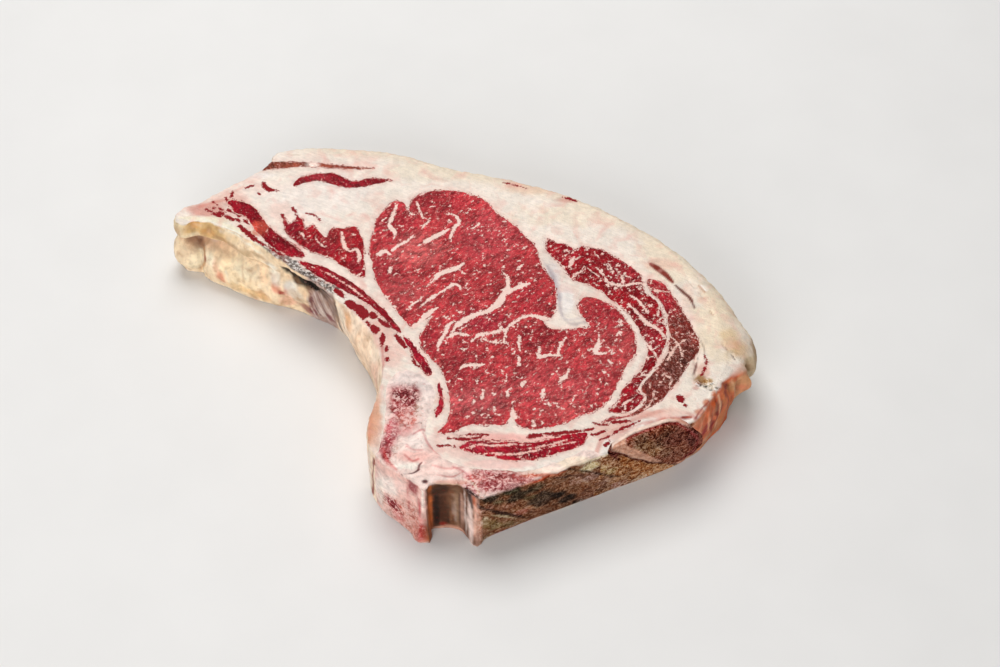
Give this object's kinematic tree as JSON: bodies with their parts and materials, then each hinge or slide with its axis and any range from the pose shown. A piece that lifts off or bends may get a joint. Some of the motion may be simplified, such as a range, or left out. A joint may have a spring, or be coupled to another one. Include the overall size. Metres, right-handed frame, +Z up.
{
  "type": "raw beef rib roast",
  "caption": "Thick bone-in slice of raw beef rib lying flat: marbled eye muscle, curved rib cap, thick fat cap, rib tail and sawn chine bone.",
  "frame": {"origin": "on the surface it lies on, under the middle of its outline", "axes": "+Z up through the thickness, +X along the length from the tail to the fat cap, -Y towards the sawn chine bone"},
  "size_m": [0.2456, 0.1872, 0.0325],
  "materials": {
    "ribeye_meat": "moist cut muscle with fine white marbling",
    "red_meat": "moist deep red muscle",
    "dark_meat": "drier brown-red muscle",
    "fat": "satin cream fat, yellower on the outside",
    "bone": "sawn bone, pink and porous, brown where it has dried",
    "sawn_bone": "dry dark porous bone"
  },
  "bodies": {
    "root": {"ribeye_muscle": "ribeye_meat", "rib_cap_muscle": "red_meat", "cap_border_muscle": "dark_meat", "side_muscle": "red_meat", "rib_strap_upper": "red_meat", "rib_strap_lower": "red_meat", "neck_strap": "red_meat", "neck_strap_lower": "red_meat", "skin_muscle_outer": "dark_meat", "skin_muscle_inner": "red_meat", "chine_muscle": "red_meat", "vertebra": "bone", "feather_bone": "sawn_bone", "fat": "fat"}
  },
  "joints": []
}
